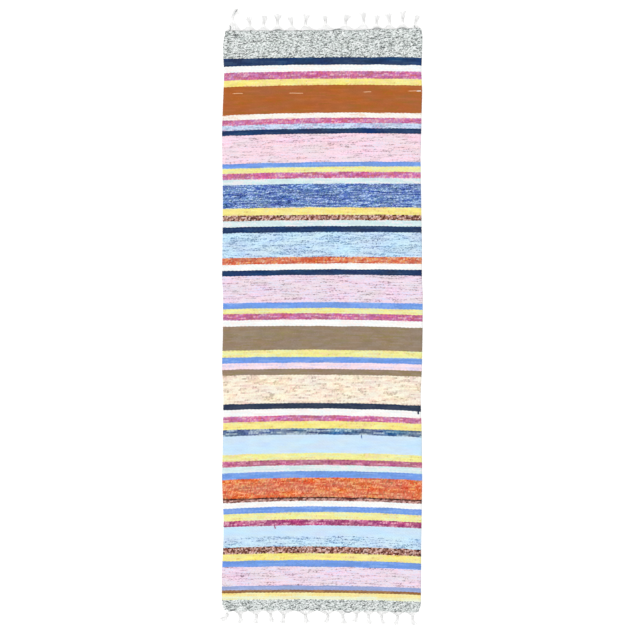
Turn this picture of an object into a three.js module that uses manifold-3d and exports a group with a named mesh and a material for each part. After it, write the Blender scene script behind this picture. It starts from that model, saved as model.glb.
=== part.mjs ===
// A striped rag rug runner, lying flat: one woven cloth and, parted from each of its ends, a narrow
// strip of the last picks that carries the warp fringe, tied in knotted tassels.
// Millimetres, +Z up. X runs across the rug along its weft, Y along its warp, and the origin is the
// middle of the cloth's underside.
import * as THREE from 'three';
import { mergeVertices } from 'three/addons/utils/BufferGeometryUtils.js';
import Module from 'manifold-3d';

// Cloth
const WIDTH = 700;
const LENGTH = 2044;
const THICKNESS = 5;
const EDGE_ROUND = 1.25;
const EDGE_ROUND_STEPS = 1;
const SELVEDGE_STEPS = 2;
const END_STEPS = 10;

// How far each end stands out of its nominal line, at its left corner, middle and right corner
const FAR_END = { direction: 1, left: -2, middle: 0, right: 7 };
const NEAR_END = { direction: -1, left: 2, middle: 0, right: 7 };

// How far the two selvedges stand out of the nominal width, along the rug from its far end
const SELVEDGES = [
  { along: 0, left: -10, right: -2 },
  { along: 24, left: -4, right: 3 },
  { along: 64, left: 0, right: 2 },
  { along: 145, left: -5, right: -1 },
  { along: 212, left: -2, right: 2 },
  { along: 339, left: 3, right: -1 },
  { along: 445, left: 2, right: -4 },
  { along: 582, left: 0, right: -2 },
  { along: 741, left: 1, right: 1 },
  { along: 868, left: 3, right: 1 },
  { along: 931, left: -1, right: 4 },
  { along: 1079, left: 0, right: 3 },
  { along: 1185, left: 3, right: 1 },
  { along: 1280, left: -2, right: -4 },
  { along: 1397, left: -1, right: 0 },
  { along: 1577, left: 3, right: 2 },
  { along: 1714, left: -3, right: 0 },
  { along: 1809, left: -2, right: -2 },
  { along: 1925, left: 4, right: -2 },
  { along: 2018, left: 3, right: -3 },
  { along: LENGTH, left: -8, right: -12 },
];

// Strip of the last picks at each end, and the gap that parts it from the cloth
const STRIP = 7;
const PARTING = 0.3;

// Fringe: each tassel is a fan of legs that leaves the strip, a knot, and a spray of tails
const LEGS = 5;
const LEG_HEIGHT = 2.2;
const LEG_ROOT_WIDTH = 2.6;
const LEG_KNOT_WIDTH = 1.4;
const LEG_SEAT = 2;
const TAILS = 5;
const TAIL_HEIGHT = 2;
const TAIL_ROOT_WIDTH = 1.4;
const TAIL_TIP_WIDTH = 2.2;
const TAIL_FAN_DEG = 11;
const TAIL_ROOT_LEAN = 0.4;
const TAIL_SHORTENING = [5, 0, 3, 1, 6];
const TAIL_STEPS = 2;
const KNOT_WIDTH = 12;
const KNOT_LENGTH = 14;
const KNOT_HEIGHT = 6;
const KNOT_ROUND = 1;
const KNOT_SIDES = 6;
const KNOT_SEAT = 4;

// One row for each tassel: the knot's place across the rug, how far the knot and the longest tail
// reach from the cloth's end, and how far the tails lean sideways, in degrees
const FAR_TASSELS = [
  { across: -316, knot: 46, reach: 77, lean: 37 },
  { across: -256, knot: 24, reach: 52, lean: -12 },
  { across: -207, knot: 22, reach: 56, lean: 14 },
  { across: -158, knot: 26, reach: 62, lean: 6 },
  { across: -108, knot: 21, reach: 50, lean: -16 },
  { across: -59, knot: 25, reach: 60, lean: 10 },
  { across: 12, knot: 27, reach: 55, lean: -9 },
  { across: 82, knot: 24, reach: 58, lean: 15 },
  { across: 146, knot: 28, reach: 66, lean: -6 },
  { across: 191, knot: 22, reach: 52, lean: 9 },
  { across: 237, knot: 24, reach: 60, lean: -11 },
  { across: 283, knot: 27, reach: 66, lean: 9 },
  { across: 329, knot: 20, reach: 48, lean: 20 },
];
const NEAR_TASSELS = [
  { across: -336, knot: 16, reach: 40, lean: -40 },
  { across: -290, knot: 20, reach: 46, lean: 11 },
  { across: -232, knot: 22, reach: 50, lean: -12 },
  { across: -182, knot: 19, reach: 44, lean: 15 },
  { across: -136, knot: 22, reach: 52, lean: -9 },
  { across: -59, knot: 23, reach: 50, lean: 17 },
  { across: 19, knot: 21, reach: 48, lean: -14 },
  { across: 72, knot: 22, reach: 52, lean: 9 },
  { across: 121, knot: 18, reach: 45, lean: -13 },
  { across: 163, knot: 21, reach: 51, lean: 7 },
  { across: 209, knot: 23, reach: 49, lean: 17 },
  { across: 265, knot: 20, reach: 52, lean: -14 },
  { across: 318, knot: 22, reach: 50, lean: 12 },
];

const wasm = await Module();
wasm.setup();

function solidOf(geometry) {
  geometry.deleteAttribute('normal');
  geometry.deleteAttribute('uv');
  const merged = mergeVertices(geometry);
  const vertProperties = new Float32Array(merged.attributes.position.array);
  const triVerts = new Uint32Array(merged.index.array);
  return new wasm.Manifold(new wasm.Mesh({ numProp: 3, vertProperties, triVerts }));
}

function meshOf(name, solid, material) {
  const { vertProperties, triVerts } = solid.getMesh();
  const geometry = new THREE.BufferGeometry();
  geometry.setAttribute('position', new THREE.BufferAttribute(vertProperties, 3));
  geometry.setIndex(new THREE.BufferAttribute(triVerts, 1));
  geometry.computeVertexNormals();
  const mesh = new THREE.Mesh(geometry, material);
  mesh.name = name;
  return mesh;
}

// A point on the floor, from its place across the rug and its distance outward of a given end
function beyond(end, across, outward) {
  const side = across / (WIDTH / 2);
  const tilt = (end.right - end.left) / 2;
  const arch = (end.right + end.left) / 2 - end.middle;
  const line = LENGTH / 2 + end.middle + tilt * side + arch * side * side;
  return new THREE.Vector2(across, end.direction * (line + outward));
}

function upright(outline, height) {
  return new THREE.ExtrudeGeometry(new THREE.Shape(outline), { depth: height, bevelEnabled: false });
}

// The points of one selvedge from the far end to the near end
function selvedge(side, sign) {
  const stations = SELVEDGES.map((row) => {
    const across = sign * (WIDTH / 2 + row[side]);
    const far = beyond(FAR_END, across, 0);
    const near = beyond(NEAR_END, across, 0);
    return far.lerp(near, row.along / LENGTH);
  });
  return new THREE.SplineCurve(stations).getPoints((stations.length - 1) * SELVEDGE_STEPS);
}

// The points of an end, without its two corners
function endLine(end, from, to) {
  const points = [];
  for (let step = 1; step < END_STEPS; step += 1) {
    points.push(beyond(end, THREE.MathUtils.lerp(from.x, to.x, step / END_STEPS), 0));
  }
  return points;
}

// The whole rug without its fringe: an uneven outline with softly rounded edges
function wholeCloth() {
  const left = selvedge('left', -1);
  const right = selvedge('right', 1);
  const farEnd = endLine(FAR_END, left.at(0), right.at(0));
  const nearEnd = endLine(NEAR_END, right.at(-1), left.at(-1));
  const outline = new THREE.Shape([...farEnd, ...right, ...nearEnd, ...left.reverse()]);
  const geometry = new THREE.ExtrudeGeometry(outline, {
    depth: THICKNESS - 2 * EDGE_ROUND,
    bevelThickness: EDGE_ROUND,
    bevelSize: EDGE_ROUND,
    bevelOffset: -EDGE_ROUND,
    bevelSegments: EDGE_ROUND_STEPS,
  });
  geometry.translate(0, 0, EDGE_ROUND);
  return solidOf(geometry);
}

// A block that holds all of the rug that lies further out than a line along one end
function outsideOf(end, outward) {
  const line = [];
  for (let step = 0; step <= END_STEPS; step += 1) {
    line.push(beyond(end, WIDTH * (step / END_STEPS - 0.5) * 2, outward));
  }
  const back = [beyond(end, WIDTH, LENGTH), beyond(end, -WIDTH, LENGTH)];
  const geometry = upright([...line, ...back], 2 * THICKNESS);
  geometry.translate(0, 0, -THICKNESS / 2);
  return solidOf(geometry);
}

// A strand that lies on the floor: a four-sided ribbon along a plan curve
function strand(end, curve, steps, rootWidth, tipWidth, height) {
  const sides = { left: [], right: [] };
  for (let step = 0; step <= steps; step += 1) {
    const along = step / steps;
    const point = curve.getPoint(along);
    const half = THREE.MathUtils.lerp(rootWidth, tipWidth, along) / 2;
    const tangent = curve.getTangent(along);
    const normal = new THREE.Vector2(-tangent.y, tangent.x).multiplyScalar(half);
    sides.left.push(point.clone().add(normal));
    sides.right.unshift(point.clone().sub(normal));
  }
  const outline = [...sides.left, ...sides.right].map((point) => beyond(end, point.x, point.y));
  return solidOf(upright(outline, height));
}

// A knot: a low round lump with a flat underside, longer along the warp than across it
function knot(end, row) {
  const place = beyond(end, row.across, row.knot);
  const rim = new THREE.EllipseCurve(place.x, place.y, KNOT_WIDTH / 2, KNOT_LENGTH / 2);
  const outline = new THREE.Shape(rim.getPoints(KNOT_SIDES).slice(1));
  const geometry = new THREE.ExtrudeGeometry(outline, {
    depth: KNOT_HEIGHT - 2 * KNOT_ROUND,
    bevelThickness: KNOT_ROUND,
    bevelSize: KNOT_ROUND,
    bevelOffset: -KNOT_ROUND,
    bevelSegments: 1,
  });
  geometry.translate(0, 0, KNOT_ROUND);
  return solidOf(geometry);
}

// A point at a distance from a knot's middle, in a direction that leans sideways from straight out
function fromKnot(row, distance, leanDeg) {
  const lean = THREE.MathUtils.degToRad(leanDeg);
  return new THREE.Vector2(
    row.across + distance * Math.sin(lean),
    row.knot + distance * Math.cos(lean),
  );
}

// One tail of a tassel, which starts in the knot and bends over to the tassel's lean
function tail(end, row, index) {
  const fan = (index - (TAILS - 1) / 2) * TAIL_FAN_DEG;
  const rootLean = fan + row.lean * TAIL_ROOT_LEAN;
  const straight = (row.reach - row.knot) / Math.cos(THREE.MathUtils.degToRad(row.lean));
  const length = straight - TAIL_SHORTENING[index];
  const curve = new THREE.QuadraticBezierCurve(
    fromKnot(row, KNOT_SEAT, rootLean),
    fromKnot(row, (KNOT_SEAT + length) / 2, rootLean),
    fromKnot(row, length, fan + row.lean),
  );
  return strand(end, curve, TAIL_STEPS, TAIL_ROOT_WIDTH, TAIL_TIP_WIDTH, TAIL_HEIGHT);
}

// One leg of a tassel, from its root in the strip to the rim of the knot
function leg(end, row, across) {
  const root = new THREE.Vector2(across, -LEG_SEAT);
  const centre = new THREE.Vector2(row.across, row.knot);
  const seat = root.clone().sub(centre).setLength(KNOT_SEAT).add(centre);
  const line = new THREE.LineCurve(root, seat);
  return strand(end, line, 1, LEG_ROOT_WIDTH, LEG_KNOT_WIDTH, LEG_HEIGHT);
}

// One tassel, between the places where its outermost warps leave the strip
function tassel(end, row, from, to) {
  let solid = knot(end, row);
  for (let index = 0; index < LEGS; index += 1) {
    solid = solid.add(leg(end, row, THREE.MathUtils.lerp(from, to, (index + 0.5) / LEGS)));
  }
  for (let index = 0; index < TAILS; index += 1) {
    solid = solid.add(tail(end, row, index));
  }
  return solid;
}

// The strip of one end with all its tassels: each takes the warps up to half way to its neighbours,
// and the outermost two take them up to the cloth's corners
function fringe(cloth, end, corners, rows) {
  const bounds = [-WIDTH / 2 - corners.left];
  for (let index = 1; index < rows.length; index += 1) {
    bounds.push((rows[index - 1].across + rows[index].across) / 2);
  }
  bounds.push(WIDTH / 2 + corners.right);
  return rows.reduce(
    (solid, row, index) => solid.add(tassel(end, row, bounds[index], bounds[index + 1])),
    cloth.intersect(outsideOf(end, -STRIP)),
  );
}

const rags = new THREE.MeshStandardMaterial({ color: 0xc4b7bc, roughness: 0.95, metalness: 0 });
const farCotton = new THREE.MeshStandardMaterial({ color: 0xf4f2ec, roughness: 0.9, metalness: 0 });
const nearCotton = farCotton.clone();

const whole = wholeCloth();
const cloth = whole
  .subtract(outsideOf(FAR_END, -STRIP - PARTING))
  .subtract(outsideOf(NEAR_END, -STRIP - PARTING));

const rug = new THREE.Group();
rug.add(meshOf('woven_cloth', cloth, rags));
const farFringe = fringe(whole, FAR_END, SELVEDGES.at(0), FAR_TASSELS);
rug.add(meshOf('fringe_far', farFringe, farCotton));
const nearFringe = fringe(whole, NEAR_END, SELVEDGES.at(-1), NEAR_TASSELS);
rug.add(meshOf('fringe_near', nearFringe, nearCotton));

export default rug;
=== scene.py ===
"""Dresses a striped rag rug runner: rag picks, knotted warp tassels, a pale floor and soft light."""

import math
import random
from typing import NamedTuple

import bpy
import numpy as np
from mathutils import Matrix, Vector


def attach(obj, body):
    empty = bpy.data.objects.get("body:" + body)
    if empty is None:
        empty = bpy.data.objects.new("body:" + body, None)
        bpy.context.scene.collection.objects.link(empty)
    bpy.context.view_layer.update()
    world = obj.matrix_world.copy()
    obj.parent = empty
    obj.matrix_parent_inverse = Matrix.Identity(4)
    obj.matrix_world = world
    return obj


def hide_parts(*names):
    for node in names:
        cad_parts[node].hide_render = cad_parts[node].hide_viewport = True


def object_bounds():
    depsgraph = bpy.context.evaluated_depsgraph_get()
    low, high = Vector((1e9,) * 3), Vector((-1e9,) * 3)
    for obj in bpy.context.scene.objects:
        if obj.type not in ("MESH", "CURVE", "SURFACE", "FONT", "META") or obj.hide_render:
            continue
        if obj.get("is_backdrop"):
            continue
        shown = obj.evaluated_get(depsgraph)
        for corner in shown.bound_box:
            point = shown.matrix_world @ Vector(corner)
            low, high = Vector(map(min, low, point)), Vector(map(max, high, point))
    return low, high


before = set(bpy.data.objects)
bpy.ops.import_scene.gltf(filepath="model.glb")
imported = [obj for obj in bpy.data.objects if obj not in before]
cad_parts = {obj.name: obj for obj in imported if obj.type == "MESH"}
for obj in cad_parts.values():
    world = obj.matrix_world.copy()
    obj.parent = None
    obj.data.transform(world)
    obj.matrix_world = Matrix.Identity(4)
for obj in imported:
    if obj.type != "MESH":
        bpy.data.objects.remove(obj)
cad_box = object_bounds()

# All lengths in the tables are millimetres. X runs across the rug, Y along it, and Z up.
MM = 0.001
SEED = 41
draws = random.Random(SEED)
noise = np.random.default_rng(SEED)

# Cloth: its outline as in the part's source
WIDTH = 700
LENGTH = 2044


class End(NamedTuple):
    """An end of the cloth: its distance from the far end, and its side in Y."""
    along: float
    direction: int


FAR = End(0, 1)
NEAR = End(LENGTH, -1)


class Edge(NamedTuple):
    """A measure at the left and the right selvedge, at a distance from the far end."""
    along: float
    left: float
    right: float


# How far the selvedges stand out of the nominal width
SELVEDGES = [
    Edge(0, -10, -2), Edge(24, -4, 3), Edge(64, 0, 2), Edge(145, -5, -1), Edge(212, -2, 2),
    Edge(339, 3, -1), Edge(445, 2, -4), Edge(582, 0, -2), Edge(741, 1, 1), Edge(868, 3, 1),
    Edge(931, -1, 4), Edge(1079, 0, 3), Edge(1185, 3, 1), Edge(1280, -2, -4), Edge(1397, -1, 0),
    Edge(1577, 3, 2), Edge(1714, -3, 0), Edge(1809, -2, -2), Edge(1925, 4, -2), Edge(2018, 3, -3),
    Edge(LENGTH, -8, -12),
]

# How far a pick lies nearer than its middle does, at the left and right selvedge: the wefts bow
WEFT_BOW = [
    Edge(0, 2, -7), Edge(121, 7, 2.5), Edge(297, 10, 1.5), Edge(473, 8.5, 0), Edge(649, 5, 2),
    Edge(826, 6.5, 2), Edge(1002, 4, 7.5), Edge(1178, 3, 6.5), Edge(1354, 7, 10.5), Edge(1531, 9, 10),
    Edge(1707, 8.5, 11), Edge(1883, 3, 11.5), Edge(LENGTH, 2, 7),
]

# Weave: the width of a pick, the number of warps, and the height of the cloth where a weft passes over a
# warp, where it passes under one, and between two picks
PICK = 5
WARPS = 100
OVER = 5.4
UNDER = 3.9
GROOVE = 3.4

# Rim: its height, the width of the slope down to it, and how far inside of it the underside ends
RIM = 2.5
RIM_SHOULDER = 1.6
RIM_INSET = 1.2

# Unevenness: how far neighbouring picks press into each other, how far a pick's turn stands out at a
# selvedge and the gap between two picks draws in, and how far picks and the cloth's ends stray along the
# rug, with the number of knots across it between which they run straight
ZIGZAG = 0.65
SCALLOP_OUT = 0.9
SCALLOP_IN = 0.7
WANDER = 0.55
WANDER_KNOTS = 24
END_WANDER = 1.0
END_KNOTS = 45


class Wave(NamedTuple):
    """A low wave of the cloth: the lengths along and across the rug in which its angle grows by one radian,
    and its phase."""
    along: float
    across: float
    phase: float


SWELL = 0.3
WAVES = [Wave(151, 97, 0), Wave(83, -131, 2)]

# The underside has one column of points for each ten of the upper side
UNDERSIDE_SKIP = 10

# A pick's map ends this share of a pick inside its edges, so that no point takes the next pick's strand
MAP_MARGIN = 0.02


class LooseEnd(NamedTuple):
    """A weft end or slub that lies on the cloth or past its end: its yarn, its radius, and the places that
    it passes, each across the rug, outward of one end of the cloth, and up."""
    yarn: str
    radius: float
    places: list


LOOSE_SIDES = 6
FAR_LOOSE_ENDS = [
    LooseEnd("charcoal", 1.4, [(-331, -5, 2.5), (-324, 4, 2.2), (-322, 11, 1.6), (-326, 18, 1.5)]),
    LooseEnd("grey tweed", 1.2, [(-317, 44, 3.0), (-312, 55, 3.6), (-307, 64, 1.8), (-299, 75, 1.4)]),
    LooseEnd("charcoal", 1.4, [(-178, -4, 2.6), (-167, 1.5, 3.2), (-150, 2.5, 2.8), (-134, -3, 2.6)]),
    LooseEnd("charcoal", 1.4, [(33, -4, 2.6), (44, 1.5, 3.0), (61, 2.5, 3.2), (77, -3, 2.6)]),
    LooseEnd("charcoal", 1.4, [(171, -4, 2.6), (184, 3, 2.8), (200, 3.5, 2.4), (217, -3, 2.6)]),
    LooseEnd("charcoal", 1.4, [(261, -4, 2.6), (275, 2, 3.0), (291, 1.5, 2.8), (303, -4, 2.6)]),
    LooseEnd("charcoal", 1.4, [(322, -5, 2.5), (327, 2, 2.2), (325, 10, 1.6)]),
    LooseEnd("straw", 1.5, [(-316, -221, 3.2), (-309, -221.5, 4.4), (-290, -220.5, 4.5), (-280, -221, 3.2)]),
    LooseEnd("straw", 1.5, [(-118, -221, 3.2), (-108, -220.5, 4.5), (-77, -221.5, 4.4), (-67, -221, 3.2)]),
    LooseEnd("straw", 1.6, [(144, -220, 3.2), (152, -220.5, 4.8), (164, -219.5, 4.4), (172, -220, 3.2)]),
    LooseEnd("straw", 1.5, [(302, -220, 3.2), (311, -220.5, 4.5), (326, -220, 4.4), (334, -221, 3.2)]),
    LooseEnd("cream", 1.8, [(333, -221, 3.2), (338, -221, 4.9), (344, -221, 4.9), (348, -221, 3.4)]),
]
NEAR_LOOSE_ENDS = [
    LooseEnd("charcoal", 1.4, [(71, -4, 2.6), (81, 4, 2.4), (96, 6, 1.8), (107, -3, 2.6)]),
    LooseEnd("grey tweed", 1.4, [(-104, -4, 2.6), (-95, 1.5, 3.0), (-82, 1.5, 2.8), (-73, -4, 2.6)]),
    LooseEnd("grey tweed", 1.4, [(232, -4, 2.6), (243, 2, 2.8), (256, 2, 2.6), (266, -4, 2.6)]),
    LooseEnd("dark navy", 3.0, [(343, -723, 3.0), (340, -712, 5.2), (338, -704, 5.2), (339, -698, 4.2)]),
    LooseEnd("denim marl", 1.5, [(138, -618, 4.0), (138, -613, 6.0), (140, -608, 5.6)]),
    LooseEnd("plum marl", 1.6, [(-168, -299, 4.0), (-167, -294, 6.2), (-165, -288, 5.6)]),
]


class Stripe(NamedTuple):
    """A stripe of the cloth."""
    yarn: str
    width: float


# From the far end to the near end
STRIPES = [
    Stripe("grey tweed", 95.5), Stripe("navy", 26.4), Stripe("white", 22.2), Stripe("magenta", 26.8),
    Stripe("yellow", 22.2), Stripe("rust", 98.3), Stripe("cream", 17.6), Stripe("magenta", 19.4),
    Stripe("lilac blue", 17.6), Stripe("navy", 18.7), Stripe("pink marl", 99.8),
    Stripe("periwinkle", 16.6), Stripe("lemon", 18.3), Stripe("magenta", 21.9), Stripe("pale mint", 19.4),
    Stripe("denim marl", 83.5), Stripe("yellow", 25.7), Stripe("brown marl", 19.4),
    Stripe("pale mint", 21.1), Stripe("navy", 20.8), Stripe("sky marl", 87.1), Stripe("orange", 23.6),
    Stripe("white", 20.8), Stripe("navy", 19.7), Stripe("lilac marl", 95.9), Stripe("periwinkle", 20.8),
    Stripe("lemon", 18.3), Stripe("magenta", 22.6), Stripe("white", 21.9), Stripe("taupe", 84.6),
    Stripe("lemon", 24.7), Stripe("periwinkle", 20.4), Stripe("pale pink", 21.9), Stripe("taupe", 20.4),
    Stripe("peach marl", 99.4), Stripe("dark navy", 20.1), Stripe("white", 23.6), Stripe("magenta", 20.1),
    Stripe("yellow", 25.7), Stripe("grey denim", 21.9), Stripe("light blue", 64.5), Stripe("lemon", 23.6),
    Stripe("plum", 19.7), Stripe("pale mint", 20.8), Stripe("periwinkle", 22.9),
    Stripe("orange marl", 68.4), Stripe("dark brown", 5.0), Stripe("maroon marl", 9.1),
    Stripe("white", 19.7), Stripe("periwinkle", 19.7), Stripe("lemon", 25.4), Stripe("plum marl", 21.1),
    Stripe("light blue", 38.1), Stripe("sky marl", 36.7), Stripe("brown marl", 23.6),
    Stripe("yellow", 24.7), Stripe("periwinkle", 22.9), Stripe("lilac marl", 66.4),
    Stripe("grey blue", 14.9), Stripe("brown", 10.0), Stripe("pale yellow", 12.0),
    Stripe("pale lemon", 11.6), Stripe("grey tweed", 38.8),
]


class Yarn(NamedTuple):
    """A weft yarn: the length of its colour dashes, the strands of colour side by side in one pick, how far
    its plies break a dash up into specks, how uneven its tone is, how far its dye drifts in strength and
    hue, and its colours, roughly from light to dark, each as a share of the yarn and an sRGB colour."""
    dash: float
    strands: int
    specks: float
    tone: float
    drift: float
    colours: list


YARNS = {
    "grey tweed": Yarn(4, 2, 0.5, 0.04, 0.3, [
        (0.31, (244, 248, 247)), (0.28, (212, 219, 217)), (0.19, (180, 187, 184)),
        (0.13, (134, 139, 138)), (0.09, (86, 90, 91)),
    ]),
    "navy": Yarn(50, 1, 0.4, 0.06, 0.15, [
        (0.20, (49, 74, 111)), (0.50, (35, 61, 104)), (0.30, (29, 53, 92)),
    ]),
    "white": Yarn(40, 1, 0.3, 0.02, 0.25, [
        (0.45, (255, 255, 253)), (0.30, (247, 253, 253)), (0.25, (255, 248, 244)),
    ]),
    "magenta": Yarn(26, 1, 0.75, 0.06, 0.16, [
        (0.13, (231, 178, 194)), (0.18, (204, 132, 190)), (0.22, (222, 128, 160)), (0.24, (198, 108, 164)),
        (0.13, (182, 92, 138)), (0.10, (204, 112, 124)),
    ]),
    "yellow": Yarn(50, 1, 0.4, 0.045, 0.15, [
        (0.10, (244, 242, 168)), (0.52, (253, 240, 147)), (0.24, (247, 233, 136)), (0.11, (250, 226, 158)),
        (0.03, (234, 204, 120)),
    ]),
    "lemon": Yarn(50, 1, 0.4, 0.045, 0.15, [
        (0.22, (238, 244, 186)), (0.48, (248, 244, 162)), (0.18, (242, 234, 150)), (0.10, (248, 228, 174)),
        (0.02, (226, 212, 132)),
    ]),
    "rust": Yarn(45, 1, 0.3, 0.04, 0.06, [
        (0.27, (184, 105, 55)), (0.60, (178, 101, 50)), (0.13, (170, 104, 44)),
    ]),
    "straw": Yarn(9, 1, 0.5, 0.04, 0.1, [(0.60, (236, 184, 136)), (0.40, (214, 150, 100))]),
    "cream": Yarn(25, 1, 0.3, 0.02, 0.25, [
        (0.60, (255, 253, 247)), (0.25, (255, 248, 236)), (0.15, (250, 230, 214)),
    ]),
    "lilac blue": Yarn(20, 1, 0.8, 0.04, 0.3, [
        (0.30, (216, 232, 253)), (0.36, (197, 214, 242)), (0.16, (202, 182, 216)), (0.18, (158, 180, 214)),
    ]),
    "pink marl": Yarn(36, 2, 0.45, 0.03, 0.5, [
        (0.14, (243, 228, 244)), (0.47, (255, 226, 238)), (0.24, (246, 213, 226)),
        (0.08, (225, 196, 209)), (0.05, (199, 170, 181)), (0.02, (156, 130, 136)),
    ]),
    "lilac marl": Yarn(36, 2, 0.45, 0.03, 0.6, [
        (0.17, (234, 228, 249)), (0.43, (247, 227, 240)), (0.24, (239, 214, 230)),
        (0.08, (218, 194, 210)), (0.05, (194, 168, 183)), (0.03, (154, 132, 142)),
    ]),
    "periwinkle": Yarn(60, 1, 0.4, 0.04, 0.06, [
        (0.20, (138, 176, 238)), (0.50, (120, 163, 238)), (0.30, (113, 155, 224)),
    ]),
    "pale mint": Yarn(40, 1, 0.4, 0.02, 0.35, [
        (0.25, (241, 242, 244)), (0.45, (222, 245, 245)), (0.30, (216, 236, 238)),
    ]),
    "denim marl": Yarn(40, 2, 0.9, 0.06, 0.14, [
        (0.09, (200, 222, 253)), (0.14, (152, 182, 230)), (0.12, (112, 150, 178)), (0.13, (120, 150, 214)),
        (0.25, (92, 120, 190)), (0.16, (68, 92, 176)), (0.11, (40, 66, 112)),
    ]),
    "grey denim": Yarn(40, 1, 0.5, 0.06, 0.45, [
        (0.15, (178, 198, 212)), (0.25, (138, 160, 184)), (0.28, (108, 134, 170)), (0.20, (82, 106, 148)),
        (0.12, (62, 84, 126)),
    ]),
    "brown marl": Yarn(6, 1, 0.8, 0.05, 0.15, [
        (0.14, (230, 198, 190)), (0.16, (202, 156, 142)), (0.23, (172, 120, 102)),
        (0.21, (134, 87, 75)), (0.15, (98, 54, 46)), (0.11, (70, 34, 30)),
    ]),
    "sky marl": Yarn(36, 2, 0.8, 0.03, 0.26, [
        (0.34, (213, 240, 255)), (0.36, (197, 225, 249)), (0.17, (170, 200, 229)), (0.09, (132, 162, 196)),
        (0.04, (96, 124, 162)),
    ]),
    "orange": Yarn(30, 1, 0.8, 0.05, 0.1, [
        (0.10, (234, 190, 166)), (0.10, (236, 166, 96)), (0.24, (230, 140, 106)), (0.34, (216, 108, 78)),
        (0.12, (194, 88, 60)), (0.10, (202, 134, 108)),
    ]),
    "taupe": Yarn(35, 1, 0.3, 0.06, 0.2, [
        (0.30, (157, 138, 119)), (0.50, (154, 133, 110)), (0.20, (150, 133, 100)),
    ]),
    "pale pink": Yarn(45, 1, 0.4, 0.03, 0.2, [
        (0.42, (255, 231, 241)), (0.34, (249, 222, 233)), (0.16, (240, 226, 247)), (0.08, (226, 212, 238)),
    ]),
    "peach marl": Yarn(22, 1, 0.5, 0.03, 0.42, [
        (0.32, (255, 247, 227)), (0.36, (251, 235, 213)), (0.13, (246, 219, 205)),
        (0.11, (235, 217, 195)), (0.08, (206, 187, 166)),
    ]),
    "dark navy": Yarn(40, 1, 0.3, 0.08, 0.15, [(0.40, (56, 68, 90)), (0.60, (44, 57, 83))]),
    "light blue": Yarn(45, 1, 0.3, 0.025, 0.3, [(0.40, (211, 235, 252)), (0.60, (208, 234, 255))]),
    "orange marl": Yarn(26, 1, 1, 0.05, 0.12, [
        (0.12, (248, 172, 132)), (0.13, (238, 170, 110)), (0.34, (232, 128, 90)), (0.22, (221, 107, 72)),
        (0.14, (204, 88, 58)), (0.05, (182, 124, 88)),
    ]),
    "dark brown": Yarn(12, 1, 0.5, 0.06, 0.15, [
        (0.20, (146, 96, 82)), (0.30, (98, 58, 48)), (0.50, (70, 38, 32)),
    ]),
    "maroon marl": Yarn(10, 1, 0.6, 0.05, 0.2, [
        (0.24, (216, 172, 164)), (0.30, (176, 136, 130)), (0.31, (150, 104, 96)), (0.15, (113, 63, 54)),
    ]),
    "grey blue": Yarn(90, 1, 0.4, 0.04, 0.15, [
        (0.24, (170, 184, 229)), (0.40, (161, 176, 222)), (0.36, (153, 170, 216)),
    ]),
    "charcoal": Yarn(9, 1, 0.5, 0.05, 0.2, [
        (0.25, (176, 181, 181)), (0.45, (134, 138, 139)), (0.30, (102, 106, 108)),
    ]),
    "brown": Yarn(30, 1, 0.4, 0.04, 0.15, [
        (0.30, (170, 128, 86)), (0.45, (156, 113, 74)), (0.25, (144, 102, 66)),
    ]),
    "pale yellow": Yarn(60, 1, 0.4, 0.03, 0.15, [
        (0.20, (250, 242, 180)), (0.56, (253, 236, 160)), (0.24, (250, 224, 146)),
    ]),
    "pale lemon": Yarn(60, 1, 0.4, 0.03, 0.2, [
        (0.40, (240, 245, 214)), (0.40, (245, 243, 200)), (0.20, (242, 236, 182)),
    ]),
    "plum": Yarn(24, 1, 0.5, 0.06, 0.2, [
        (0.12, (220, 156, 178)), (0.22, (200, 126, 150)), (0.36, (184, 104, 142)), (0.18, (190, 122, 132)),
        (0.12, (158, 84, 114)),
    ]),
    "plum marl": Yarn(24, 1, 0.8, 0.05, 0.25, [
        (0.16, (226, 168, 188)), (0.28, (202, 122, 154)), (0.32, (180, 90, 134)), (0.24, (152, 66, 110)),
    ]),
}

# Light, and the gain from a yarn's own colour to the colour that shows in that light
SKY = 0.84
KEY = 1.8
KEY_ANGLE_DEG = 35
KEY_TURN_DEG = (32, -18, 0)
GAIN = 1.2


class Tassel(NamedTuple):
    """A tassel: the knot's place across the rug, how far its knot and its longest tail reach from the
    cloth's end, and how far the tails lean sideways, in degrees."""
    across: float
    knot: float
    reach: float
    lean: float


FAR_TASSELS = [
    Tassel(-316, 46, 77, 37), Tassel(-256, 24, 52, -12), Tassel(-207, 22, 56, 14), Tassel(-158, 26, 62, 6),
    Tassel(-108, 21, 50, -16), Tassel(-59, 25, 60, 10), Tassel(12, 27, 55, -9), Tassel(82, 24, 58, 15),
    Tassel(146, 28, 66, -6), Tassel(191, 22, 52, 9), Tassel(237, 24, 60, -11), Tassel(283, 27, 66, 9),
    Tassel(329, 20, 48, 20),
]
NEAR_TASSELS = [
    Tassel(-336, 16, 40, -40), Tassel(-290, 20, 46, 11), Tassel(-232, 22, 50, -12), Tassel(-182, 19, 44, 15),
    Tassel(-136, 22, 52, -9), Tassel(-59, 23, 50, 17), Tassel(19, 21, 48, -14), Tassel(72, 22, 52, 9),
    Tassel(121, 18, 45, -13), Tassel(163, 21, 51, 7), Tassel(209, 23, 49, 17), Tassel(265, 20, 52, -14),
    Tassel(318, 22, 50, 12),
]

# Warp yarns of a tassel, from inside the cloth to its knot. They lie in layers, which close up towards the
# floor on the way
WARP_RADIUS = 0.75
WARP_SIDES = 5
WARPS_PER_TASSEL = 16
CORNER_MARGIN = 3
ROOT_DEPTH = 4
ROOT_HEIGHT = 2.4
ROOT_STRAY = 0.8
EXIT_REACH = 2
EXIT_DROP = 0.6
LEG_STRAY = 1
KNOT_HALF = 6
BUNDLE_HALF = 3.6
BUNDLE_LAYERS = (0.9, 2.3, 3.7)
LEG_LAYER_SHARE = 0.25


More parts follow.
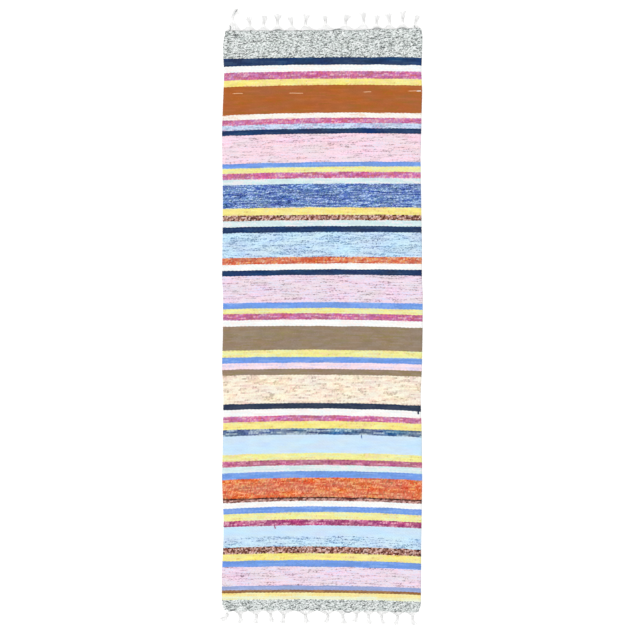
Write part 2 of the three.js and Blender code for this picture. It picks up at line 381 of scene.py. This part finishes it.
class LegPoint(NamedTuple):
    """A point of a warp between the cloth and the knot: its shares of the way across and outward, and of the
    warp's stray."""
    across: float
    outward: float
    stray: float


LEG_POINTS = [LegPoint(0.35, 0.3, 1), LegPoint(0.8, 0.68, 0)]

# Tails of a tassel. Past the knot each warp comes apart into its plies, which fan out and then lean
PLIES = 2
PLY_RADIUS = 0.5
PLY_SIDES = 4
PLY_SPREAD_DEG = 12
PLY_STRAY_DEG = 7
TAIL_FAN_DEG = 26
TAIL_ROOT_LEAN = 0.4
TAIL_SHORTENING = 9
TAIL_WAVE = 1.3
TAIL_MIDDLE = 0.25
TAIL_LATE_TIP = 0.55
TAIL_LATE_MIDDLE = 0.6
TAIL_LAYER_SHARE = 0.1
SPLINE_STEPS = 4

# Turns of yarn that show round a knot
TURNS = 5
TURN_STEPS = 20
TURN_HALF_WIDTH = 5.1
TURN_HALF_HEIGHT = 2.15
TURN_HEIGHT = 2.95
TURN_MARGIN = 1.5
TURN_TAPER = 0.12
TURN_SLANT = 2.2
TURN_SLANT_RANGE = (0.7, 1.3)
TURN_LEAD_DEG = 45
TURN_STRAY = 0.3
TURN_RADIUS = 0.8


class Grain(NamedTuple):
    """Noise on a yarn: its cells per metre of the yarn, its cells across the yarn, and its finer octaves."""
    along: float
    across: float
    detail: float


FIBRES = Grain(180, 6, 3)
THREADS = Grain(400, 12, 2)
PATCHES = Grain(25, 0.35, 1)
DYE = Grain(11, 0.16, 1)
COTTON_FIBRES = Grain(900, 5, 2)

# Colours on a rag yarn: over how many dashes the starts of its strands spread, how far a dash leans and
# feathers out, the plies that break it up, the tone of fine threads, and the painted shade in the grooves
# between picks: how much it darkens them and how closely it gathers at the groove
STRAND_SPREAD = 1000
SLANT = 1.5
SLANT_SHARE = 0.2
FEATHER = 9
PLY = 3.5
THREAD_TONE = 0.3
PAINTED_GROOVE_SHADE = 0.14
PAINTED_GROOVE_POWER = 3

# Share of a yarn's drift that goes to its hue, and the share of each channel in brightness
HUE_SHARE = 0.1
LUMINANCE = (0.2126, 0.7152, 0.0722)

# Colours of the warp cotton: its own colour on its plies, and a painted shade in the recess between them
COTTON = (0.885, 0.885, 0.88)
COTTON_PAINTED_SHADE = (0.79, 0.79, 0.785)
COTTON_FIBRE_SHARE = 0.4


class Finish(NamedTuple):
    """A yarn's finish: the length of one turn of its twist, the strength and depth of its relief, its gloss,
    and its sheen and how rough that is."""
    twist: float
    bump: float
    depth: float
    specular: float
    sheen: float
    sheen_roughness: float


RAG_FINISH = Finish(8, 0.6, 1.1, 0.1, 0.04, 0.6)
COTTON_FINISH = Finish(5, 0.6, 0.3, 0.15, 0.1, 0.5)
ROUGHNESS = 0.88
ROUGHNESS_SPREAD = 0.08

# Floor
FLOOR_SIZE = 80000
FLOOR_GREY = 0.93
FLOOR_ROUGHNESS = 0.9
FLOOR_SPECULAR = 0.1

UV_NAME = "weave"
UP = (0, 0, 1)

# Camera straight above the rug, as far to the side as the photo's middle is
CAMERA_LENS = 85
CAMERA_SENSOR = 36
PICTURE_SPAN = 2256
PICTURE_MIDDLE = (-7.75, 1)


def linear(channel):
    """An sRGB channel of 0 to 255 as linear light."""
    share = channel / 255
    return share / 12.92 if share <= 0.04045 else ((share + 0.055) / 1.055) ** 2.4


def at(rows, along):
    """The left and right values of a table of Edge rows, at distances from the far end."""
    stations = [row.along for row in rows]
    left = np.interp(along, stations, [row.left for row in rows])
    right = np.interp(along, stations, [row.right for row in rows])
    return left, right


def bow(side, along):
    """How far a pick lies nearer than its middle. side is -1 at the left selvedge and 1 at the right one."""
    left, right = at(WEFT_BOW, along)
    return (left + right) / 2 * side**2 + (right - left) / 2 * side


def plan(side, along):
    """Places on the rug's plan, across it and in Y."""
    left, right = at(SELVEDGES, along)
    across = side * (WIDTH / 2 + np.where(side < 0, left, right) * np.abs(side))
    return across, LENGTH / 2 - along - bow(side, along)


def end_place(end):
    """A function from a place across the rug, outward of one end and up to a point of the scene."""
    def place(across, outward, up):
        side = across / (WIDTH / 2)
        y = LENGTH / 2 - end.along - bow(side, end.along) + end.direction * outward
        return np.array([across, y, up])

    return place


class Shader:
    """A material's node tree, with one call for each node."""

    def __init__(self, name):
        self.material = bpy.data.materials.new(name)
        self.material.use_nodes = True
        self.tree = self.material.node_tree
        self.surface = self.tree.nodes["Principled BSDF"]

    def feed(self, node, inputs):
        for key, value in inputs.items():
            if isinstance(value, bpy.types.NodeSocket):
                self.tree.links.new(value, node.inputs[key])
            else:
                node.inputs[key].default_value = value

    def node(self, kind, inputs, **settings):
        made = self.tree.nodes.new("ShaderNode" + kind)
        for key, value in settings.items():
            setattr(made, key, value)
        self.feed(made, inputs)
        return made

    def math(self, operation, *values):
        return self.node("Math", dict(enumerate(values)), operation=operation).outputs[0]

    def uv(self):
        """The two coordinates of the piece's own map."""
        place = self.node("UVMap", {}, uv_map=UV_NAME).outputs["UV"]
        parts = self.node("SeparateXYZ", {"Vector": place})
        return parts.outputs["X"], parts.outputs["Y"]

    def noise(self, along, across, grain):
        """Noise from 0 to 1 on a yarn, as a value and as a colour."""
        place = self.node("CombineXYZ", {
            "X": self.math("MULTIPLY", along, grain.along),
            "Y": self.math("MULTIPLY", across, grain.across),
        }).outputs[0]
        return self.node("TexNoise", {"Vector": place, "Scale": 1, "Detail": grain.detail},
                         noise_dimensions="2D").outputs

    def lengths(self, along, strand, length):
        """A chance from 0 to 1 for each uneven length of a strand, which starts at its own place."""
        chance = self.node("TexWhiteNoise", {"W": strand}, noise_dimensions="1D").outputs["Value"]
        start = self.math("MULTIPLY", chance, STRAND_SPREAD)
        place = self.math("MULTIPLY_ADD", along, 1 / length, start)
        cells = self.node("TexVoronoi", {"W": place, "Scale": 1}, voronoi_dimensions="1D")
        return self.node("SeparateColor", {"Color": cells.outputs["Color"]}).outputs["Red"]

    def around(self, value, middle, spread):
        """A value from 0 to 1, moved to lie round a middle."""
        return self.math("MULTIPLY_ADD", value, 2 * spread, middle - spread)

    def ridge(self, along, turn, finish):
        """A ridge from 0 to 0.5 that winds round a yarn. turn is the place round it, in turns."""
        turns = self.math("MULTIPLY_ADD", along, 1 / (finish.twist * MM), turn)
        return self.math("PINGPONG", turns, 0.5)

    def dress(self, colour, relief, fibre, finish):
        """Gives the surface its colour, its relief and the finish of a yarn."""
        bump = self.node("Bump", {
            "Height": relief, "Strength": finish.bump, "Distance": finish.depth * MM})
        self.feed(self.surface, {
            "Base Color": colour,
            "Normal": bump.outputs["Normal"],
            "Roughness": self.around(fibre, ROUGHNESS, ROUGHNESS_SPREAD),
            "Specular IOR Level": finish.specular,
            "Sheen Weight": finish.sheen,
            "Sheen Roughness": finish.sheen_roughness,
        })


def lift(yarn):
    """How much a yarn's largest channel rises with its strength of colour, so that its brightness holds."""
    mean = sum(share * np.array([linear(channel) for channel in colour]) for share, colour in yarn.colours)
    return mean.max() / (mean @ LUMINANCE) - 1


def yarn_material(name, yarn):
    shader = Shader(name.replace(" ", "_"))
    across, picks = shader.uv()
    lanes = shader.math("MULTIPLY", picks, yarn.strands)
    strand = shader.math("FLOOR", lanes)
    fibre = shader.noise(across, picks, FIBRES)["Fac"]
    slant = min(SLANT, SLANT_SHARE * yarn.dash) * MM
    slanted = shader.math("MULTIPLY_ADD", shader.math("FRACT", lanes), slant, across)
    feathered = shader.math("MULTIPLY_ADD", fibre, FEATHER * MM, slanted)
    dash = shader.lengths(feathered, strand, yarn.dash * MM)
    ply = shader.lengths(feathered, strand, PLY * MM)
    broken = shader.math("ADD", dash, shader.around(ply, 0, yarn.specks / 2))
    chance = shader.math("PINGPONG", broken, 1)
    ramp = shader.node("ValToRGB", {"Fac": chance})
    ramp.color_ramp.interpolation = "CONSTANT"
    reached = 0
    for index, (share, colour) in enumerate(yarn.colours):
        stops = ramp.color_ramp.elements
        stop = stops[index] if index < len(stops) else stops.new(reached)
        stop.position = reached
        stop.color = [*(linear(channel) / GAIN for channel in colour), 1]
        reached += share

    patch = shader.noise(across, picks, PATCHES)["Fac"]
    thread = shader.noise(across, picks, THREADS)["Fac"]
    drift = shader.node("SeparateColor", {"Color": shader.noise(across, picks, DYE)["Color"]}).outputs
    # Painted shade: the colour darkens towards each boundary between picks, where the grooves lie in shade
    off_middle = shader.math("ABSOLUTE", shader.around(shader.math("FRACT", picks), 0, 1))
    painted_groove_shade = shader.math("POWER", off_middle, PAINTED_GROOVE_POWER)
    tone = shader.math(
        "MULTIPLY", shader.around(fibre, 1, 2 * yarn.tone), shader.around(patch, 1, 2 * yarn.tone))
    threaded = shader.math("MULTIPLY", tone, shader.around(thread, 1, THREAD_TONE))
    level = shader.math("MULTIPLY", threaded, shader.around(drift["Red"], 1, yarn.drift * lift(yarn)))
    value = shader.math("MULTIPLY", level, shader.math("MULTIPLY_ADD", painted_groove_shade, -PAINTED_GROOVE_SHADE, 1))
    colour = shader.node("HueSaturation", {
        "Color": ramp.outputs["Color"],
        "Hue": shader.around(drift["Green"], 0.5, yarn.drift * HUE_SHARE),
        "Saturation": shader.around(drift["Red"], 1, yarn.drift),
        "Value": value,
    })

    ridge = shader.ridge(across, shader.math("FRACT", picks), RAG_FINISH)
    shader.dress(colour.outputs["Color"], shader.math("ADD", ridge, fibre), fibre, RAG_FINISH)
    return shader.material


def cotton_material():
    shader = Shader("warp_cotton")
    along, around = shader.uv()
    ridge = shader.ridge(along, shader.math("MULTIPLY", around, PLIES), COTTON_FINISH)
    height = shader.math("MULTIPLY", ridge, 2)
    fibre = shader.noise(along, around, COTTON_FIBRES)["Fac"]
    # The colour runs from painted shade between the plies to the cotton's own colour on them, with fibre
    # tone mixed in
    ramp = shader.node("ValToRGB", {"Fac": shader.math("MULTIPLY_ADD", fibre, COTTON_FIBRE_SHARE, height)})
    for stop, colour in zip(ramp.color_ramp.elements, (COTTON_PAINTED_SHADE, COTTON)):
        stop.color = [*colour, 1]
    shader.dress(ramp.outputs["Color"], height, fibre, COTTON_FINISH)
    return shader.material


def make_piece(name, points, faces, uvs, materials, slots=None):
    """A smooth mesh piece from points in millimetres, with one map corner for each corner of its faces."""
    mesh = bpy.data.meshes.new(name)
    mesh.from_pydata((np.asarray(points) * MM).tolist(), [], faces)
    mesh.uv_layers.new(name=UV_NAME).data.foreach_set("uv", np.asarray(uvs, dtype=np.float32).ravel())
    for material in materials:
        mesh.materials.append(material)
    if slots is not None:
        mesh.polygons.foreach_set("material_index", np.asarray(slots, dtype=np.int32))
    mesh.polygons.foreach_set("use_smooth", np.ones(len(faces), dtype=bool))
    mesh.update()
    piece = bpy.data.objects.new(name, mesh)
    bpy.context.collection.objects.link(piece)
    return piece


def lay_picks():
    """The picks' boundaries along the middle of the rug, and the yarn of each pick."""
    scale = LENGTH / sum(stripe.width for stripe in STRIPES)
    lines, yarns = [0.0], []
    for stripe in STRIPES:
        count = max(1, round(stripe.width / PICK))
        for _ in range(count):
            lines.append(lines[-1] + stripe.width * scale / count)
            yarns.append(stripe.yarn)
    return np.array(lines), yarns


def wander(lines, sides):
    """How far each boundary between picks strays along the rug, as smooth noise across it."""
    knots = noise.normal(size=(lines, WANDER_KNOTS))
    knots = (knots + np.roll(knots, 1, axis=0) + np.roll(knots, -1, axis=0)) / math.sqrt(3)
    places = np.linspace(-1, 1, WANDER_KNOTS)
    stray = WANDER * np.array([np.interp(sides, places, row) for row in knots])
    ends = noise.normal(size=(2, END_KNOTS))
    stray[[0, -1]] = [END_WANDER * np.interp(sides, np.linspace(-1, 1, END_KNOTS), row) for row in ends]
    return stray


def swell(across, along):
    """Long, low waves of the cloth on the floor, from 0 up to SWELL."""
    waves = sum(np.sin(along / wave.along + across / wave.across + wave.phase) for wave in WAVES)
    return SWELL * (waves + len(WAVES)) / (2 * len(WAVES))


def weave_top(lines, sides):
    """Points of the upper side. Boundaries between picks are even rows, the middles of picks odd ones."""
    picks, columns = len(lines) - 1, len(sides)
    over = (np.add.outer(np.arange(picks), np.arange(columns)) % 2) == 0
    bounds = lines[:, None] + wander(len(lines), sides)
    bounds[1:-1] += np.where(over[1:], -ZIGZAG, ZIGZAG)
    along = np.empty((2 * picks + 1, columns))
    along[0::2] = bounds
    along[1::2] = (bounds[:-1] + bounds[1:]) / 2
    height = np.full(along.shape, float(GROOVE))
    height[1::2] = np.where(over, OVER, UNDER)
    height[:, [0, -1]] = RIM
    height[[0, -1]] = RIM
    across, y = plan(np.broadcast_to(sides, along.shape), along)
    height += swell(across, along) * (height / OVER)
    scallop = np.where(np.arange(len(along)) % 2 == 1, SCALLOP_OUT, -SCALLOP_IN)
    across[:, 0] -= scallop
    across[:, -1] += scallop
    return np.stack([across, y, height], axis=-1)


def weave_below(lines, sides):
    """Points of the underside, which lies flat on the floor, with a row for each boundary between picks."""
    inner_sides = sides * (1 - RIM_INSET / (WIDTH / 2))
    inner_lines = np.clip(lines, RIM_INSET, LENGTH - RIM_INSET)
    across, y = plan(*np.broadcast_arrays(inner_sides, inner_lines[:, None]))
    return np.stack([across, y, np.zeros_like(across)], axis=-1)


def lay_loose_ends(names):
    """The loose weft ends and slubs of both ends, and the yarn of each face as its place in names."""
    loose, slots = Yarns(), []
    for rows, end in ((FAR_LOOSE_ENDS, FAR), (NEAR_LOOSE_ENDS, NEAR)):
        place = end_place(end)
        for row in rows:
            line = spline(np.array([place(*point) for point in row.places]))
            loose.add(line, row.radius, LOOSE_SIDES, UP)
            slots += [names.index(row.yarn)] * (len(loose.faces) - len(slots))
    return loose, slots


def make_cloth():
    lines, yarns = lay_picks()
    picks = len(yarns)
    shoulder = 1 - RIM_SHOULDER / (WIDTH / 2)
    sides = np.concatenate([[-1], np.linspace(-shoulder, shoulder, WARPS + 1), [1]])
    columns = len(sides)
    under_columns = np.unique(np.append(np.arange(0, columns, UNDERSIDE_SKIP), columns - 1))
    top = weave_top(lines, sides)
    below = weave_below(lines, sides[under_columns])
    last_row, last, last_below = len(top) - 1, columns - 1, len(under_columns) - 1

    def top_at(row, column):
        return row * columns + column

    def below_at(line, column):
        return len(top) * columns + line * len(under_columns) + column

    faces, uvs, slots = [], [], []
    u = (sides + 1) / 2 * WIDTH * MM
    names = list(YARNS)

    def add(face, corners, pick):
        faces.append(face)
        uvs.extend(corners)
        slots.append(names.index(yarns[pick]))

    def add_rim(face, corner, pick):
        add(face, (corner,) * len(face), pick)

    for row in range(last_row):
        pick, lower = divmod(row, 2)
        start, end = (pick + 0.5, pick + 1 - MAP_MARGIN) if lower else (pick + MAP_MARGIN, pick + 0.5)
        for column in range(last):
            left, right = u[column], u[column + 1]
            add((top_at(row + 1, column), top_at(row + 1, column + 1),
                 top_at(row, column + 1), top_at(row, column)),
                ((left, end), (right, end), (right, start), (left, start)), pick)

    for pick in range(picks):
        middle = pick + 0.5
        for column in range(last_below):
            left, right = u[under_columns[column]], u[under_columns[column + 1]]
            add((below_at(pick, column), below_at(pick, column + 1),
                 below_at(pick + 1, column + 1), below_at(pick + 1, column)),
                ((left, middle), (right, middle), (right, middle), (left, middle)), pick)
        row = 2 * pick
        add_rim((top_at(row, 0), below_at(pick, 0), below_at(pick + 1, 0),
                 top_at(row + 2, 0), top_at(row + 1, 0)),
                (u[0], middle), pick)
        add_rim((top_at(row + 2, last), below_at(pick + 1, last_below), below_at(pick, last_below),
                 top_at(row, last), top_at(row + 1, last)),
                (u[-1], middle), pick)

    for column in range(last_below):
        span = range(under_columns[column], under_columns[column + 1] + 1)
        far = [top_at(0, over) for over in span]
        add_rim((*far, below_at(0, column + 1), below_at(0, column)), (u[span[0]], 0.5), 0)
        near = [top_at(last_row, over) for over in reversed(span)]
        add_rim((*near, below_at(picks, column), below_at(picks, column + 1)),
                (u[span[0]], picks - 0.5), picks - 1)

    points = np.concatenate([top.reshape(-1, 3), below.reshape(-1, 3)])
    loose, loose_slots = lay_loose_ends(names)
    faces.extend(tuple(len(points) + corner for corner in face) for face in loose.faces)
    uvs.extend(loose.uvs)
    slots.extend(loose_slots)
    materials = [yarn_material(name, yarn) for name, yarn in YARNS.items()]
    return make_piece("woven_rags", np.concatenate([points, loose.points]), faces, uvs, materials, slots)


def spline(knots):
    """A smooth line through its knots."""
    padded = np.concatenate([[2 * knots[0] - knots[1]], knots, [2 * knots[-1] - knots[-2]]])
    steps = np.linspace(0, 1, SPLINE_STEPS, endpoint=False)[:, None]
    line = []
    for before, start, end, after in zip(padded, padded[1:], padded[2:], padded[3:]):
        line.append(0.5 * (
            2 * start + (end - before) * steps + (2 * before - 5 * start + 4 * end - after) * steps**2
            + (3 * start - before - 3 * end + after) * steps**3))
    return np.concatenate([*line, knots[-1:]])


class Yarns:
    """Round yarns that are collected into one piece."""

    def __init__(self):
        self.points, self.faces, self.uvs = [], [], []

    def add(self, line, radius, sides, upright, closed=False):
        """A tube along a line. upright is a direction that the line never takes."""
        ahead = np.roll(line, -1, axis=0) - np.roll(line, 1, axis=0)
        if not closed:
            ahead[0], ahead[-1] = line[1] - line[0], line[-1] - line[-2]
        ahead /= np.linalg.norm(ahead, axis=1, keepdims=True)
        beside = np.cross(ahead, upright)
        beside /= np.linalg.norm(beside, axis=1, keepdims=True)
        above = np.cross(beside, ahead)
        turn = np.linspace(0, 2 * math.pi, sides, endpoint=False)[:, None, None]
        rings = line + radius * (np.cos(turn) * beside + np.sin(turn) * above)
        rings = rings.transpose(1, 0, 2)
        first, count = len(self.points), len(line)
        self.points.extend(rings.reshape(-1, 3))
        gone = np.concatenate([[0], np.cumsum(np.linalg.norm(np.diff(line, axis=0), axis=1))]) * MM
        for ring in range(count if closed else count - 1):
            following = (ring + 1) % count
            start = gone[ring]
            end = gone[following] if following else start + gone[1]
            for side in range(sides):
                across = (side + 1) % sides
                self.faces.append((first + following * sides + side, first + following * sides + across,
                                   first + ring * sides + across, first + ring * sides + side))
                self.uvs.extend(((end, side / sides), (end, (side + 1) / sides),
                                 (start, (side + 1) / sides), (start, side / sides)))
        if not closed:
            last = first + (count - 1) * sides
            self.faces.append(tuple(range(first, first + sides)))
            self.faces.append(tuple(range(last + sides - 1, last - 1, -1)))
            self.uvs.extend([(gone[0], 0)] * sides + [(gone[-1], 0)] * sides)


def heading(angle):
    """A step of length 1 on the plan, across the rug and outward, turned from straight outward."""
    return np.array([math.sin(angle), math.cos(angle)])


def wind_knot(yarns, row, place):
    """The turns of yarn round one tassel's knot."""
    outward = place(row.across, row.knot + 1, 0) - place(row.across, row.knot, 0)
    for turn in range(TURNS):
        offset = (turn / (TURNS - 1) - 0.5) * 2 * (KNOT_HALF - TURN_MARGIN)
        slant = TURN_SLANT * draws.uniform(*TURN_SLANT_RANGE)
        lead = math.radians(TURN_LEAD_DEG) + draws.uniform(-TURN_STRAY, TURN_STRAY)
        swelling = 1 - TURN_TAPER * abs(offset) / KNOT_HALF
        loop = []
        for step in range(TURN_STEPS):
            angle = 2 * math.pi * step / TURN_STEPS
            loop.append(place(
                row.across + swelling * TURN_HALF_WIDTH * math.cos(angle),
                row.knot + offset + slant * math.sin(angle + lead),
                TURN_HEIGHT + swelling * TURN_HALF_HEIGHT * math.sin(angle)))
        yarns.add(np.array(loop), TURN_RADIUS, WARP_SIDES, outward, closed=True)


def tassel(yarns, row, start, end, place):
    """One tassel. start and end are where its outermost warps leave the cloth, and place turns a place
    across the rug, outward of the cloth's end and up into a point of the scene."""
    lean = math.radians(row.lean)
    straight = (row.reach - row.knot) / math.cos(lean)
    for index in range(WARPS_PER_TASSEL):
        share = (index + 0.5) / WARPS_PER_TASSEL
        fan = 2 * share - 1
        root = start + (end - start) * share + draws.uniform(-ROOT_STRAY, ROOT_STRAY)
        layer = BUNDLE_LAYERS[index % len(BUNDLE_LAYERS)]
        beside = row.across + fan * BUNDLE_HALF
        stray = draws.uniform(-LEG_STRAY, LEG_STRAY)
        low = WARP_RADIUS + LEG_LAYER_SHARE * layer
        tail_low = PLY_RADIUS + TAIL_LAYER_SHARE * layer
        leg = [place(root, -ROOT_DEPTH, ROOT_HEIGHT), place(root, EXIT_REACH, ROOT_HEIGHT - EXIT_DROP)]
        for point in LEG_POINTS:
            across = root + point.across * (beside - root) + point.stray * stray
            leg.append(place(across, point.outward * row.knot, low))
        leg.append(place(beside, row.knot - KNOT_HALF, layer))
        leg.append(place(beside, row.knot + KNOT_HALF / 2, layer))
        yarns.add(spline(np.array(leg)), WARP_RADIUS, WARP_SIDES, UP)
        for ply in range(PLIES):
            spread = PLY_SPREAD_DEG * ((ply + 0.5) / PLIES - 0.5)
            stray = draws.uniform(-PLY_STRAY_DEG, PLY_STRAY_DEG)
            spray = math.radians(fan * TAIL_FAN_DEG + spread + stray)
            length = straight - draws.uniform(0, TAIL_SHORTENING)
            tip = heading(spray + lean) * length
            middle = TAIL_MIDDLE * (tip + heading(spray + TAIL_ROOT_LEAN * lean) * length)
            late = TAIL_LATE_TIP * tip + TAIL_LATE_MIDDLE * middle
            wave = draws.uniform(-TAIL_WAVE, TAIL_WAVE)
            tail = np.array([
                place(beside, row.knot + KNOT_HALF / 3, layer),
                place(row.across + middle[0], row.knot + middle[1], low),
                place(row.across + late[0] + wave, row.knot + late[1], tail_low),
                place(row.across + tip[0], row.knot + tip[1], PLY_RADIUS),
            ])
            yarns.add(spline(tail), PLY_RADIUS, PLY_SIDES, UP)
    wind_knot(yarns, row, place)


def make_fringe(name, rows, end, material):
    """The tassels of one end."""
    corner_left, corner_right = (float(value) for value in at(SELVEDGES, end.along))
    starts = [-WIDTH / 2 - corner_left + CORNER_MARGIN]
    starts += [(one.across + two.across) / 2 for one, two in zip(rows, rows[1:])]
    starts += [WIDTH / 2 + corner_right - CORNER_MARGIN]
    yarns = Yarns()
    for row, first, last in zip(rows, starts, starts[1:]):
        tassel(yarns, row, first, last, end_place(end))
    return make_piece(name, yarns.points, yarns.faces, yarns.uvs, [material])


def make_floor():
    half = FLOOR_SIZE / 2 * MM
    corners = [(-half, -half, 0), (half, -half, 0), (half, half, 0), (-half, half, 0)]
    mesh = bpy.data.meshes.new("floor")
    mesh.from_pydata(corners, [], [(0, 1, 2, 3)])
    floor = bpy.data.objects.new("floor", mesh)
    bpy.context.collection.objects.link(floor)
    shader = Shader("floor_paint")
    shader.feed(shader.surface, {
        "Base Color": (FLOOR_GREY, FLOOR_GREY, FLOOR_GREY, 1),
        "Roughness": FLOOR_ROUGHNESS,
        "Specular IOR Level": FLOOR_SPECULAR,
    })
    mesh.materials.append(shader.material)
    return floor


def make_light():
    world = bpy.data.worlds.new("studio")
    world.use_nodes = True
    world.node_tree.nodes["Background"].inputs["Color"].default_value = (1, 1, 1, 1)
    world.node_tree.nodes["Background"].inputs["Strength"].default_value = SKY
    bpy.context.scene.world = world
    key = bpy.data.lights.new("key", "SUN")
    key.energy = KEY
    key.angle = math.radians(KEY_ANGLE_DEG)
    lamp = bpy.data.objects.new("key", key)
    lamp.rotation_euler = [math.radians(turn) for turn in KEY_TURN_DEG]
    bpy.context.collection.objects.link(lamp)
    bpy.context.scene.view_settings.view_transform = "Standard"


def make_camera():
    data = bpy.data.cameras.new("camera")
    data.lens = CAMERA_LENS
    data.sensor_width = CAMERA_SENSOR
    camera = bpy.data.objects.new("camera", data)
    height = PICTURE_SPAN * CAMERA_LENS / CAMERA_SENSOR
    camera.location = [value * MM for value in (*PICTURE_MIDDLE, height)]
    bpy.context.collection.objects.link(camera)
    bpy.context.scene.camera = camera


cloth = make_cloth()
cotton = cotton_material()
fringe_far = make_fringe("warp_tassels_far", FAR_TASSELS, FAR, cotton)
fringe_near = make_fringe("warp_tassels_near", NEAR_TASSELS, NEAR, cotton)
floor = make_floor()

floor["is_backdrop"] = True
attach(cloth, "root")
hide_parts("woven_cloth")
for fringe, node in ((fringe_far, "fringe_far"), (fringe_near, "fringe_near")):
    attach(fringe, "root")
    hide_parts(node)

make_light()
make_camera()

boxes = {"cad": cad_box, "visual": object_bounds()}
{name: [list(corner) for corner in box] for name, box in boxes.items()}
